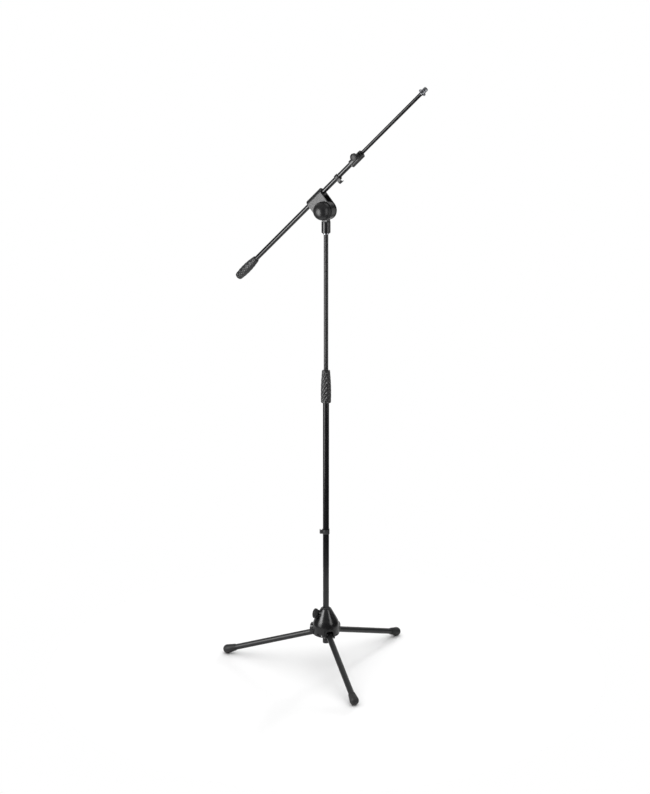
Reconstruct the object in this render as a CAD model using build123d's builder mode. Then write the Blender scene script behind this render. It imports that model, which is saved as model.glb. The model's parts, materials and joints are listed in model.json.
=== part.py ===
from build123d import *
from math import atan2, cos, degrees, hypot, radians, sin, sqrt
import os

os.makedirs("parts", exist_ok=True)

# A boom microphone stand: three folding legs, a telescopic column and a telescopic boom.
# Frame: the origin is on the floor under the column, +Z is up, and the boom lies in the XZ plane
# with its microphone end towards +X.

# Fits
sliding_fit = 0.05  # radial clearance of a tube in its bush, a pin in its eye or a bolt in its nut
free_gap = 0.3  # space between pieces that pass each other without touching
seat = 0.02  # radial clearance of pieces that are pressed together
cut_over = 1.0  # how far a cut runs on past the face it opens

# Legs
leg_azimuths = {"left": 198.0, "right": 78.0, "front": 318.0}
hinge_radius = 38.0
hinge_height = 122.4
foot_radius = 374.0
foot_height = 15.8
leg_tube_radius = 10.5
leg_tube_wall = 1.2
leg_tube_start = 13.0
foot_ball_radius = 16.3
foot_mouth_radius = 12.2
foot_sleeve = 34.0
foot_wall = 2.0
knuckle_radius = 11.5
knuckle_width = 25.0
knuckle_spigot = 42.0
knuckle_round = 1.5
knuckle_shoulder = 12.9
hinge_pin_radius = 3.0
hinge_pin_inset = 0.4

# Base housing
housing_radius = 48.5
housing_bottom = 116.0
housing_top = 213.0
housing_neck_radius = 19.0
shoulder_height = 160.0
shoulder_round = 60.0
housing_wall = 4.0
housing_edge = 3.0
cavity_top = 146.0
cavity_peak = 170.0
cavity_peak_radius = 31.0
hub_radius = 19.0
rib_root_radius = 16.0  # where the lobes and the bosses start, inside the hub's wall
lobe_width = 37.0
lobe_reach = 55.5
lobe_top = 152.0
lobe_round = 13.0
slot_width = 26.0
slot_inner_radius = 22.5
slot_top = 144.0
slot_round = 8.0
slot_below = 40.0
slot_beyond = 20.0
bush_radius = 13.5
bush_flange_radius = 14.6
bush_flange = 4.0
bush_flange_edge = 1.0
bush_recess = 4.0
screw_turn = 70.0  # angle from a leg to the next housing screw
screw_height = 127.0
screw_boss_radius = 5.5
screw_shank_radius = 2.0
screw_head_radius = 3.6
screw_head_depth = 3.0
screw_head_gap = 0.2
screw_cross_length = 4.2
screw_cross_width = 1.1

# Base clamp
base_clamp_azimuth = 235.0
base_clamp_height = 185.7  # where the clamp's axis meets the column's axis
base_clamp_tilt = 18.0  # the axis rises outwards
base_boss_radius = 14.5
base_boss_reach = 34.6
base_knob_start = 39.1
base_knob_thickness = 8.0
base_knob_radius = 18.2
base_knob_round = 2.5
base_knob_skin = 3.0
base_bolt_radius = 4.0
base_bolt_chamfer = 0.6
base_bolt_window = 4.5
base_insert_radius = 6.5
base_insert_start = 24.0

# Column
lower_tube_radius = 11.0
lower_tube_wall = 1.2
lower_tube_bottom = 83.5
lower_tube_top = 1052.0
foot_plug_radius = 11.9
foot_plug_bottom = 80.5
foot_plug_top = 95.5
foot_plug_round = 2.5
upper_tube_radius = 8.0
upper_tube_wall = 1.0
upper_tube_bottom = 900.0
upper_tube_top = 1574.5
guide_bush_length = 32.0
guide_bush_lip = 4.0
guide_bush_chamfer = 1.0
stud_radius = 4.7
stud_plug_length = 30.0
stud_collar = 2.5
stud_collar_radius = 10.8
stud_length = 24.0
stud_chamfer = 1.0
stud_hole_spare = 2.0

# Clutch
clutch_bottom = 979.5
clutch_top = 1095.0
clutch_widest = 1020.0
clutch_bottom_radius = 17.9
clutch_widest_radius = 18.4
clutch_top_radius = 14.3
clutch_bottom_round = 3.0
clutch_top_chamfer = 1.0
clutch_lip = 3.0  # rubber below the shell
clutch_cap = 2.0  # rubber above the shell
clutch_shell_radius = 15.4
clutch_shell_taper = 1050.0
clutch_shell_top_radius = 12.2
clutch_body_radius = 13.2
clutch_body_bottom = 996.0
clutch_room = 2.0  # space inside the shell past the ends of the body and the collet
clutch_seat_bottom = 1056.0
clutch_seat_top = 1060.0
collet_radius = 10.6
collet_top = 1076.0
collet_spigot = 14.0
collet_slit = 1.2
collet_slit_span = 32.0
collet_slit_bottom = 1056.0
collet_nose = 4.0
collet_nose_depth = 1.2

# Head and pivot
pivot_height = 1656.0
fitting_radius = 15.6
fitting_top = 1617.5
fitting_round = 3.5
fitting_top_round = 1.0
hub_neck_width = 20.0
hub_neck_sink = 2.0
hub_disc_radius = 32.5
hub_disc_half = 11.2
friction_disc_radius = 29.0
friction_disc_thickness = 1.9
friction_disc_bore = 5.0
pivot_bolt_radius = 4.0
bracket_back = 38.0
bracket_radius = 33.5
bracket_waist = 15.0
bracket_half = 16.5
bracket_sheet = 3.0
bracket_edge_round = 0.8
bolt_head_radius = 11.0
bolt_head_height = 4.5
bolt_head_rim = 1.0
pivot_bolt_spare = 4.0  # thread that stands past the dome's insert
dome_radius = 31.8
dome_base = 17.1
dome_skirt = 3.9
dome_wall = 4.0
dome_rim_round = 1.0
dome_hollow_depth = 9.9
dome_hub_radius = 10.0
dome_insert_radius = 7.0
dome_insert_length = 16.0
dome_insert_inset = 0.5
dome_insert_spare = 6.0

# Boom
boom_elevation = 42.8
boom_offset = 53.4  # from the pivot up to the boom's axis
boom_tube_radius = 8.4
boom_tube_wall = 1.1
boom_tube_back = -441.0
boom_tube_front = 204.0
grip_back = -455.0
grip_mouth = -347.0
grip_widest = -415.0
grip_mouth_radius = 11.5
grip_widest_radius = 16.8
grip_end_radius = 14.0
grip_end_round = 6.0
grip_end_bulge = 2.0
grip_end_flat_radius = 8.0
grip_mouth_chamfer = 2.0
end_plug_length = 16.0
end_plug_cap = 2.0
end_plug_core_radius = 5.0
end_plug_core = 4.0
saddle_drop = 12.0
saddle_inset = 1.0
saddle_flat = 0.2
lock_back = 186.0
lock_front = 243.0
lock_radius = 12.0
lock_belly_radius = 9.0
lock_belly_drop = 6.5
lock_front_round = 2.0
lock_edge_round = 1.0
lock_boss_radius = 10.5
lock_boss_reach = 19.0
lock_bolt_place = 226.0
lock_bolt_radius = 3.0
lock_insert_radius = 5.0
lock_insert_start = 10.0
lock_bush_radius = 7.45
lock_bush_inset = 0.5
lock_bush_window = 4.5
lock_knob_start = 24.0
lock_knob_thickness = 11.0
lock_knob_radius = 13.5
lock_knob_round = 2.0
lock_knob_skin = 3.0
lock_bolt_chamfer = 0.5
inner_tube_radius = 6.2
inner_tube_wall = 0.9
inner_tube_back = 90.0
inner_tube_front = 545.0
inner_bush_length = 22.0
tip_collar_radius = 6.9
tip_collar_front = 553.3
tip_collar_round = 0.8
tip_plug_length = 22.0
tip_stud_radius = 4.7
tip_stud_front = 571.0
adapter_flange_radius = 13.3
adapter_flange = 3.0
adapter_front = 575.0
adapter_thread_radius = 7.94
adapter_chamfer = 1.0
adapter_flange_chamfer = 0.5

# Cable clips
column_clip_height = 504.8
column_clip_azimuth = 213.0
column_clip_length = 15.0
boom_clip_place = 114.0
boom_clip_length = 14.0
clip_wall = 3.3
clip_lip_radius = 2.4
clip_lip_angle = 38.0
clip_gap_share = 0.62  # width of the clip's mouth over the tube's diameter
hook_overlap = 1.3  # how far the cable hook's bore bites into the clip's ring
column_hook_radius = 3.9
column_hook_wall = 1.8
column_hook_mouth = 6.2
boom_hook_radius = 5.5
boom_hook_wall = 2.2
boom_hook_mouth = 8.0

# Directions and planes
boom_angle = radians(boom_elevation)
boom_direction = Vector(cos(boom_angle), 0, sin(boom_angle))
boom_up = Vector(-sin(boom_angle), 0, cos(boom_angle))
pivot = Vector(0, 0, pivot_height)
boom_origin = pivot + boom_up * boom_offset
boom_axis = Axis(boom_origin, boom_direction)
boom_side = Plane(origin=boom_origin, x_dir=boom_direction, z_dir=(0, -1, 0))
pivot_side = Plane(origin=pivot, x_dir=boom_direction, z_dir=(0, -1, 0))
pivot_axis = Axis(pivot, (0, -1, 0))
column_side = Plane.XZ
leg_drop = degrees(atan2(hinge_height - foot_height, foot_radius - hinge_radius))
leg_reach = hypot(hinge_height - foot_height, foot_radius - hinge_radius)


def radial(azimuth):
    """Horizontal direction at an azimuth."""
    return Vector(cos(radians(azimuth)), sin(radians(azimuth)), 0)


def across(azimuth, height, distance):
    """Plane that faces outwards along an azimuth, with y up."""
    outward = radial(azimuth)
    centre = outward * distance + Vector(0, 0, height)
    return Plane(origin=centre, x_dir=Vector(0, 0, 1).cross(outward), z_dir=outward)


def clamp_plane(distance):
    """Plane square to the base clamp's rising axis, at a distance along it."""
    outward = radial(base_clamp_azimuth)
    tilt = radians(base_clamp_tilt)
    along = outward * cos(tilt) + Vector(0, 0, 1) * sin(tilt)
    start = Vector(0, 0, base_clamp_height)
    return Plane(origin=start + along * distance, x_dir=Vector(0, 0, 1).cross(outward), z_dir=along)


def leg_plane(azimuth):
    """Plane of one leg: origin on its hinge, x along the leg, y upwards across it."""
    outward = radial(azimuth)
    drop = radians(leg_drop)
    along = outward * cos(drop) - Vector(0, 0, 1) * sin(drop)
    hinge = outward * hinge_radius + Vector(0, 0, hinge_height)
    return Plane(origin=hinge, x_dir=along, z_dir=outward.cross(Vector(0, 0, 1)))


def boom_section(place):
    """Plane square to the boom at a place along it."""
    return Plane(origin=boom_origin + boom_direction * place, x_dir=-boom_up, z_dir=boom_direction)


def turn(outline, plane, axis, mode=Mode.ADD):
    """Revolve a closed outline, drawn in a plane, about an axis."""
    with BuildSketch(plane) as profile:
        with BuildLine():
            Polyline(*outline, close=True)
        make_face()
    revolve(profile.sketch, axis=axis, mode=mode)


def cylinder(plane, radius, length, mode=Mode.ADD):
    """Round bar or bore that starts on a plane and runs along its normal."""
    with BuildSketch(plane) as disc:
        Circle(radius)
    extrude(disc.sketch, amount=length, mode=mode)


def pipe(plane, length, outer, inner):
    """Tube that starts on a plane."""
    with BuildSketch(plane) as wall:
        Circle(outer)
        Circle(inner, mode=Mode.SUBTRACT)
    extrude(wall.sketch, amount=length)


def save(piece, label):
    """Label a finished sub-part and write its STEP file."""
    piece.part.label = label
    export_step(piece.part, f"parts/{label}.step")


def rounded_post(azimuth, width, bottom, top, corner, start, end, mode):
    """Arch-topped block, drawn across an azimuth, from one radius to another."""
    with BuildSketch(across(azimuth, 0, start)) as arch:
        with Locations((0, (bottom + top) / 2)):
            RectangleRounded(width, top - bottom, corner)
        with Locations((0, bottom + corner)):
            Rectangle(width, 2 * corner)
    extrude(arch.sketch, amount=end - start, mode=mode)


# Base housing: a hollow moulded cone on a round skirt, with a lobe and a slot for each leg
with BuildPart() as base_housing:
    with BuildSketch(column_side):
        with BuildLine():
            Polyline(
                (bush_radius, housing_bottom),
                (housing_radius - housing_edge, housing_bottom),
                (housing_radius, housing_bottom + housing_edge),
                (housing_radius, shoulder_height),
                (housing_neck_radius, housing_top),
                (bush_radius, housing_top),
                close=True,
            )
        make_face()
        shoulder = vertices().sort_by_distance((housing_radius, shoulder_height))[0]
        fillet(shoulder, shoulder_round)
    revolve(axis=Axis.Z)
    cavity = [
        (hub_radius, housing_bottom - cut_over),
        (housing_radius - housing_wall, housing_bottom - cut_over),
        (housing_radius - housing_wall, cavity_top),
        (cavity_peak_radius, cavity_peak),
        (hub_radius, cavity_peak),
    ]
    turn(cavity, column_side, Axis.Z, Mode.SUBTRACT)
    for azimuth in leg_azimuths.values():
        rounded_post(
            azimuth, lobe_width, housing_bottom, lobe_top, lobe_round, rib_root_radius, lobe_reach, Mode.ADD
        )
        cylinder(
            across(azimuth + screw_turn, screw_height, rib_root_radius),
            screw_boss_radius,
            housing_radius - housing_wall / 2 - rib_root_radius,
        )
    cylinder(clamp_plane(rib_root_radius), base_boss_radius, base_boss_reach - rib_root_radius)
    for azimuth in leg_azimuths.values():
        rounded_post(
            azimuth,
            slot_width,
            housing_bottom - slot_below,
            slot_top,
            slot_round,
            slot_inner_radius,
            lobe_reach + slot_beyond,
            Mode.SUBTRACT,
        )
        hinge_side = leg_plane(azimuth)
        cylinder(
            hinge_side.offset(-lobe_width),
            hinge_pin_radius + seat,
            2 * lobe_width,
            Mode.SUBTRACT,
        )
        screw_side = across(azimuth + screw_turn, screw_height, lower_tube_radius)
        cylinder(screw_side, screw_shank_radius + seat, housing_radius, Mode.SUBTRACT)
        head_side = across(azimuth + screw_turn, screw_height, housing_radius - 2 * screw_head_depth)
        cylinder(head_side, screw_head_radius + screw_head_gap, housing_radius, Mode.SUBTRACT)
    cylinder(Plane.XY.offset(housing_bottom - cut_over), bush_radius, housing_top, Mode.SUBTRACT)
    cylinder(clamp_plane(0), base_insert_radius + seat, housing_radius, Mode.SUBTRACT)
save(base_housing, "base_housing")

# Bush that lines the housing and guides the lower tube
with BuildPart() as base_bush:
    bush_wall = [
        (lower_tube_radius + sliding_fit, housing_bottom + bush_recess),
        (bush_radius - seat, housing_bottom + bush_recess),
        (bush_radius - seat, housing_top),
        (bush_flange_radius, housing_top),
        (bush_flange_radius, housing_top + bush_flange - bush_flange_edge),
        (bush_flange_radius - bush_flange_edge, housing_top + bush_flange),
        (lower_tube_radius + sliding_fit, housing_top + bush_flange),
    ]
    turn(bush_wall, column_side, Axis.Z)
    cylinder(clamp_plane(0), base_bolt_window, housing_radius, Mode.SUBTRACT)
    for azimuth in leg_azimuths.values():
        screw_side = across(azimuth + screw_turn, screw_height, lower_tube_radius)
        cylinder(screw_side, screw_shank_radius + seat, housing_radius, Mode.SUBTRACT)
save(base_bush, "base_bush")

# Threaded brass insert in the housing's boss
with BuildPart() as base_insert:
    pipe(
        clamp_plane(base_insert_start),
        base_boss_reach - base_insert_start,
        base_insert_radius,
        base_bolt_radius + sliding_fit,
    )
save(base_insert, "base_insert")

# Screws that hold the bush in the housing, with their heads sunk in the skirt
with BuildPart() as housing_screws:
    for azimuth in leg_azimuths.values():
        shank_side = across(azimuth + screw_turn, screw_height, lower_tube_radius + free_gap)
        head_place = housing_radius - 2 * screw_head_depth
        cylinder(shank_side, screw_shank_radius, head_place - lower_tube_radius)
        head_side = across(azimuth + screw_turn, screw_height, head_place)
        cylinder(head_side, screw_head_radius, screw_head_depth)
        socket_side = across(azimuth + screw_turn, screw_height, head_place + screw_head_depth / 2)
        with BuildSketch(socket_side):
            Rectangle(screw_cross_length, screw_cross_width)
            Rectangle(screw_cross_width, screw_cross_length)
        extrude(amount=screw_head_depth, mode=Mode.SUBTRACT)
save(housing_screws, "housing_screws")

# Hinge pins of the three legs
with BuildPart() as leg_hinge_pins:
    for azimuth in leg_azimuths.values():
        cylinder(
            leg_plane(azimuth).offset(-lobe_width / 2 + hinge_pin_inset),
            hinge_pin_radius,
            lobe_width - 2 * hinge_pin_inset,
        )
save(leg_hinge_pins, "leg_hinge_pins")


def leg_tube(azimuth):
    """Steel tube of one leg."""
    side = leg_plane(azimuth)
    square = Plane(origin=side.origin + side.x_dir * leg_tube_start, x_dir=side.y_dir, z_dir=side.x_dir)
    with BuildPart() as tube:
        length = leg_reach - leg_tube_start - foot_wall
        pipe(square, length, leg_tube_radius, leg_tube_radius - leg_tube_wall)
    return tube


def leg_knuckle(azimuth):
    """Moulded hinge eye whose spigot fills the leg tube's inner end."""
    side = leg_plane(azimuth)
    square = Plane(origin=side.origin, x_dir=side.y_dir, z_dir=side.x_dir)
    bore = leg_tube_radius - leg_tube_wall - seat
    with BuildPart() as knuckle:
        cylinder(side.offset(-knuckle_width / 2), knuckle_radius, knuckle_width)
        fillet(edges().filter_by(GeomType.CIRCLE), knuckle_round)
        cylinder(square, leg_tube_radius, knuckle_shoulder)
        cylinder(square, bore, knuckle_spigot)
        cylinder(
            side.offset(-knuckle_width), hinge_pin_radius + sliding_fit, 2 * knuckle_width, Mode.SUBTRACT
        )
    return knuckle


def foot_cap(azimuth):
    """Rubber boot with a ball end and a small worn flat where it stands."""
    side = leg_plane(azimuth)
    bore = leg_tube_radius + seat
    mouth = leg_reach - foot_sleeve
    tube_end = leg_reach - foot_wall
    shoulder = foot_ball_radius * sqrt(0.5)
    with BuildPart() as cap:
        with BuildSketch(side) as profile:
            with BuildLine():
                Line((mouth, bore), (mouth, foot_mouth_radius))
                Line((mouth, foot_mouth_radius), (tube_end, foot_ball_radius))
                Line((tube_end, foot_ball_radius), (leg_reach, foot_ball_radius))
                ThreePointArc(
                    (leg_reach, foot_ball_radius),
                    (leg_reach + shoulder, shoulder),
                    (leg_reach + foot_ball_radius, 0),
                )
                Line((leg_reach + foot_ball_radius, 0), (tube_end, 0))
                Line((tube_end, 0), (tube_end, bore))
                Line((tube_end, bore), (mouth, bore))
            make_face()
        revolve(profile.sketch, axis=Axis(side.origin, side.x_dir))
        split(bisect_by=Plane.XY, keep=Keep.TOP)
    return cap


for leg_name, azimuth in leg_azimuths.items():
    save(leg_tube(azimuth), f"leg_tube_{leg_name}")
    save(leg_knuckle(azimuth), f"leg_knuckle_{leg_name}")
    save(foot_cap(azimuth), f"foot_cap_{leg_name}")

# Knob that clamps the lower tube in the base, and its bolt
with BuildPart() as base_knob:
    knob_side = clamp_plane(base_knob_start)
    cylinder(knob_side, base_knob_radius, base_knob_thickness)
    fillet(edges().filter_by(GeomType.CIRCLE), base_knob_round)
    cylinder(knob_side, base_bolt_radius + seat, base_knob_thickness - base_knob_skin, Mode.SUBTRACT)
save(base_knob, "base_knob")

with BuildPart() as base_bolt:
    tilt = radians(base_clamp_tilt)
    tip = (lower_tube_radius + free_gap + base_bolt_radius * sin(tilt)) / cos(tilt)
    bolt_reach = base_knob_start + base_knob_thickness - base_knob_skin
    cylinder(clamp_plane(tip), base_bolt_radius, bolt_reach - tip)
    chamfer(edges().filter_by(GeomType.CIRCLE), base_bolt_chamfer)
save(base_bolt, "base_bolt")

# Lower tube of the column and the plug in its foot
with BuildPart() as lower_tube:
    pipe(
        Plane.XY.offset(lower_tube_bottom),
        lower_tube_top - lower_tube_bottom,
        lower_tube_radius,
        lower_tube_radius - lower_tube_wall,
    )
save(lower_tube, "lower_tube")

with BuildPart() as tube_foot_plug:
    cylinder(Plane.XY.offset(foot_plug_bottom), foot_plug_radius, foot_plug_top - foot_plug_bottom)
    fillet(edges().filter_by(GeomType.CIRCLE).sort_by(Axis.Z)[0], foot_plug_round)
    with BuildSketch(Plane.XY.offset(lower_tube_bottom)) as groove:
        Circle(lower_tube_radius + seat)
        Circle(lower_tube_radius - lower_tube_wall - seat, mode=Mode.SUBTRACT)
    extrude(groove.sketch, amount=foot_plug_top, mode=Mode.SUBTRACT)
save(tube_foot_plug, "tube_foot_plug")

# Clutch: threaded body on the lower tube, split collet, turning shell and rubber cover
with BuildPart() as clutch_body:
    pipe(
        Plane.XY.offset(clutch_body_bottom),
        lower_tube_top - clutch_body_bottom,
        clutch_body_radius,
        lower_tube_radius + seat,
    )
save(clutch_body, "clutch_body")

with BuildPart() as clutch_collet:
    collet_bore = upper_tube_radius + sliding_fit
    spigot_radius = lower_tube_radius - lower_tube_wall - seat
    collet_wall = [
        (collet_bore, lower_tube_top - collet_spigot),
        (spigot_radius, lower_tube_top - collet_spigot),
        (spigot_radius, lower_tube_top + seat),
        (collet_radius, lower_tube_top + seat),
        (collet_radius, collet_top - collet_nose),
        (collet_radius - collet_nose_depth, collet_top),
        (collet_bore, collet_top),
    ]
    turn(collet_wall, column_side, Axis.Z)
    with BuildSketch(Plane.XY.offset(collet_slit_bottom)) as slits:
        Rectangle(collet_slit_span, collet_slit)
        Rectangle(collet_slit, collet_slit_span)
    extrude(slits.sketch, amount=collet_top, mode=Mode.SUBTRACT)
save(clutch_collet, "clutch_collet")

lower_bore = lower_tube_radius + free_gap
upper_bore = upper_tube_radius + free_gap
shell_bottom = clutch_bottom + clutch_lip
shell_top = clutch_top - clutch_cap
shell_outline = [
    (clutch_shell_radius, shell_bottom),
    (clutch_shell_radius, clutch_shell_taper),
    (clutch_shell_top_radius, shell_top),
]
with BuildPart() as clutch_shell:
    shell_wall = [
        (lower_bore, shell_bottom),
        *shell_outline,
        (upper_bore, shell_top),
        (upper_bore, collet_top + clutch_room),
        (collet_radius + free_gap, collet_top + clutch_room),
        (collet_radius + free_gap, clutch_seat_top),
        (clutch_body_radius + free_gap, clutch_seat_bottom),
        (clutch_body_radius + free_gap, clutch_body_bottom - clutch_room),
        (lower_bore, clutch_body_bottom - clutch_room),
    ]
    turn(shell_wall, column_side, Axis.Z)
save(clutch_shell, "clutch_shell")

with BuildPart() as clutch_cover:
    round_start = clutch_bottom_radius - clutch_bottom_round
    round_inset = clutch_bottom_round * (1 - sqrt(0.5))
    chamfer_radius = clutch_top_radius - clutch_top_chamfer
    with BuildSketch(column_side) as cover_profile:
        with BuildLine():
            Line((lower_bore, clutch_bottom), (round_start, clutch_bottom))
            ThreePointArc(
                (round_start, clutch_bottom),
                (clutch_bottom_radius - round_inset, clutch_bottom + round_inset),
                (clutch_bottom_radius, clutch_bottom + clutch_bottom_round),
            )
            ThreePointArc(
                (clutch_bottom_radius, clutch_bottom + clutch_bottom_round),
                (clutch_widest_radius, clutch_widest),
                (clutch_top_radius, clutch_top - clutch_top_chamfer),
            )
            Line((clutch_top_radius, clutch_top - clutch_top_chamfer), (chamfer_radius, clutch_top))
            Line((chamfer_radius, clutch_top), (upper_bore, clutch_top))
            Line((upper_bore, clutch_top), (upper_bore, shell_top))
            Line((upper_bore, shell_top), shell_outline[2])
            Line(shell_outline[2], shell_outline[1])
            Line(shell_outline[1], shell_outline[0])
            Line(shell_outline[0], (lower_bore, shell_bottom))
            Line((lower_bore, shell_bottom), (lower_bore, clutch_bottom))
        make_face()
    revolve(cover_profile.sketch, axis=Axis.Z)
save(clutch_cover, "clutch_cover")

# Upper tube, its guide bush and the threaded stud in its top
with BuildPart() as upper_tube:
    pipe(
        Plane.XY.offset(upper_tube_bottom),
        upper_tube_top - upper_tube_bottom,
        upper_tube_radius,
        upper_tube_radius - upper_tube_wall,
    )
save(upper_tube, "upper_tube")

with BuildPart() as upper_guide_bush:
    bush_outer = lower_tube_radius - lower_tube_wall - sliding_fit
    bush_bottom = upper_tube_bottom - guide_bush_lip
    bush_outline = [
        (upper_tube_radius - upper_tube_wall, bush_bottom),
        (bush_outer - guide_bush_chamfer, bush_bottom),
        (bush_outer, bush_bottom + guide_bush_chamfer),
        (bush_outer, bush_bottom + guide_bush_length),
        (upper_tube_radius + seat, bush_bottom + guide_bush_length),
        (upper_tube_radius + seat, upper_tube_bottom - seat),
        (upper_tube_radius - upper_tube_wall, upper_tube_bottom - seat),
    ]
    turn(bush_outline, column_side, Axis.Z)
save(upper_guide_bush, "upper_guide_bush")

with BuildPart() as column_stud:
    plug_radius = upper_tube_radius - upper_tube_wall - seat
    cylinder(Plane.XY.offset(upper_tube_top - stud_plug_length), plug_radius, stud_plug_length)
    cylinder(Plane.XY.offset(upper_tube_top + seat), stud_collar_radius, stud_collar)
    cylinder(Plane.XY.offset(upper_tube_top), stud_radius, stud_collar + stud_length)
    chamfer(edges().filter_by(GeomType.CIRCLE).sort_by(Axis.Z)[-1], stud_chamfer)
save(column_stud, "column_stud")

# Head fitting: a round post that carries the hub disc of the tilting pivot
with BuildPart() as head_fitting:
    fitting_bottom = upper_tube_top + stud_collar + free_gap
    cylinder(Plane.XY.offset(fitting_bottom), fitting_radius, fitting_top - fitting_bottom)
    fillet(edges().filter_by(GeomType.CIRCLE).sort_by(Axis.Z)[0], fitting_round)
    fillet(edges().filter_by(GeomType.CIRCLE).sort_by(Axis.Z)[-1], fitting_top_round)
    with BuildSketch(Plane.XZ.offset(-hub_disc_half)) as hub_outline:
        with Locations((0, pivot_height)):
            Circle(hub_disc_radius)
        with Locations((0, (fitting_top - hub_neck_sink + pivot_height) / 2)):
            Rectangle(hub_neck_width, pivot_height - fitting_top + hub_neck_sink)
    extrude(hub_outline.sketch, amount=2 * hub_disc_half)
    pin_hole = pivot_bolt_radius + sliding_fit
    cylinder(pivot_side.offset(-hub_disc_half), pin_hole, 2 * hub_disc_half, Mode.SUBTRACT)
    stud_hole = stud_radius + sliding_fit
    cylinder(Plane.XY.offset(fitting_bottom), stud_hole, stud_length + stud_hole_spare, Mode.SUBTRACT)
save(head_fitting, "head_fitting")

with BuildPart() as friction_discs:
    for side in (1, -1):
        face = hub_disc_half + sliding_fit
        start = face if side > 0 else -face - friction_disc_thickness
        pipe(
            pivot_side.offset(start),
            friction_disc_thickness,
            friction_disc_radius,
            friction_disc_bore,
        )
save(friction_discs, "friction_discs")

# Bracket: one sheet bent over the boom, with a rounded cheek on each side of the hub
with BuildPart() as boom_bracket:
    bracket_length = bracket_back + bracket_radius
    inner_half = bracket_half - bracket_sheet
    with BuildSketch(pivot_side) as cheek:
        Circle(bracket_radius)
        with Locations(((bracket_radius - bracket_back) / 2, (bracket_waist + boom_offset) / 2)):
            Rectangle(bracket_length, boom_offset - bracket_waist)
        make_hull()
    extrude(cheek.sketch, amount=bracket_half, both=True)
    cylinder(boom_section(-bracket_back), bracket_half, bracket_length)
    with BuildSketch(pivot_side) as opening:
        Rectangle(2 * bracket_length, 2 * boom_offset)
    extrude(opening.sketch, amount=inner_half, both=True, mode=Mode.SUBTRACT)
    cylinder(boom_section(-bracket_length), inner_half, 2 * bracket_length, Mode.SUBTRACT)
    outer_start = inner_half + bracket_sheet / 2
    rims = edges().filter_by(GeomType.CIRCLE).filter_by(lambda edge: abs(edge.center().Y) > outer_start)
    fillet(rims, bracket_edge_round)
    cylinder(pivot_side.offset(-bracket_length), pivot_bolt_radius + seat, 2 * bracket_length, Mode.SUBTRACT)
save(boom_bracket, "boom_bracket")

with BuildPart() as boom_saddle:
    saddle_radius = inner_half - sliding_fit
    with BuildSketch(boom_section(saddle_inset - bracket_back)) as saddle_outline:
        Circle(saddle_radius)
        with Locations((saddle_drop / 2, 0)):
            Rectangle(saddle_drop, 2 * (saddle_radius - saddle_flat))
        Circle(boom_tube_radius + sliding_fit, mode=Mode.SUBTRACT)
    extrude(saddle_outline.sketch, amount=bracket_length - 2 * saddle_inset)
save(boom_saddle, "boom_saddle")

with BuildPart() as pivot_bolt:
    bolt_end = dome_base + dome_insert_length + pivot_bolt_spare
    cylinder(pivot_side.offset(-bracket_half), pivot_bolt_radius, bracket_half + bolt_end)
    with BuildSketch(Plane.XZ.offset(-bracket_half - bolt_head_height)) as head_top:
        with Locations((0, pivot_height)):
            Circle(bolt_head_radius)
    extrude(head_top.sketch, amount=bolt_head_height)
    fillet(edges().filter_by(GeomType.CIRCLE).sort_by(Axis.Y)[-1], bolt_head_height - bolt_head_rim)
save(pivot_bolt, "pivot_bolt")

# Domed clamping knob of the pivot and its threaded insert
with BuildPart() as head_knob:
    dome_centre = dome_base + dome_skirt
    ball_shoulder = dome_radius * sqrt(0.5)
    with BuildSketch(Plane.YZ) as dome_profile:
        with BuildLine():
            Line((-dome_base, pivot_height), (-dome_base, pivot_height + dome_radius))
            Line((-dome_base, pivot_height + dome_radius), (-dome_centre, pivot_height + dome_radius))
            ThreePointArc(
                (-dome_centre, pivot_height + dome_radius),
                (-dome_centre - ball_shoulder, pivot_height + ball_shoulder),
                (-dome_centre - dome_radius, pivot_height),
            )
            Line((-dome_centre - dome_radius, pivot_height), (-dome_base, pivot_height))
        make_face()
    revolve(dome_profile.sketch, axis=pivot_axis)
    fillet(edges().filter_by(GeomType.CIRCLE).sort_by(Axis.Y)[-1], dome_rim_round)
    with BuildSketch(pivot_side.offset(dome_base)) as hollow:
        Circle(dome_radius - dome_wall)
        Circle(dome_hub_radius, mode=Mode.SUBTRACT)
    extrude(hollow.sketch, amount=dome_hollow_depth, mode=Mode.SUBTRACT)
    insert_hole = dome_insert_radius + seat
    cylinder(pivot_side.offset(dome_base), insert_hole, dome_insert_length + dome_insert_spare, Mode.SUBTRACT)
save(head_knob, "head_knob")

with BuildPart() as head_knob_insert:
    pipe(
        pivot_side.offset(dome_base + dome_insert_inset),
        dome_insert_length,
        dome_insert_radius,
        pivot_bolt_radius + sliding_fit,
    )
save(head_knob_insert, "head_knob_insert")

# Outer boom tube, with its end plug and grip
with BuildPart() as boom_tube_outer:
    pipe(
        boom_section(boom_tube_back),
        boom_tube_front - boom_tube_back,
        boom_tube_radius,
        boom_tube_radius - boom_tube_wall,
    )
save(boom_tube_outer, "boom_tube_outer")

with BuildPart() as boom_end_plug:
    cylinder(boom_section(boom_tube_back), boom_tube_radius - boom_tube_wall - seat, end_plug_length)
    plug_back = boom_section(boom_tube_back - end_plug_cap)
    cylinder(plug_back, boom_tube_radius, end_plug_cap - seat)
    cylinder(plug_back, end_plug_core_radius, end_plug_core)
save(boom_end_plug, "boom_end_plug")

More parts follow.
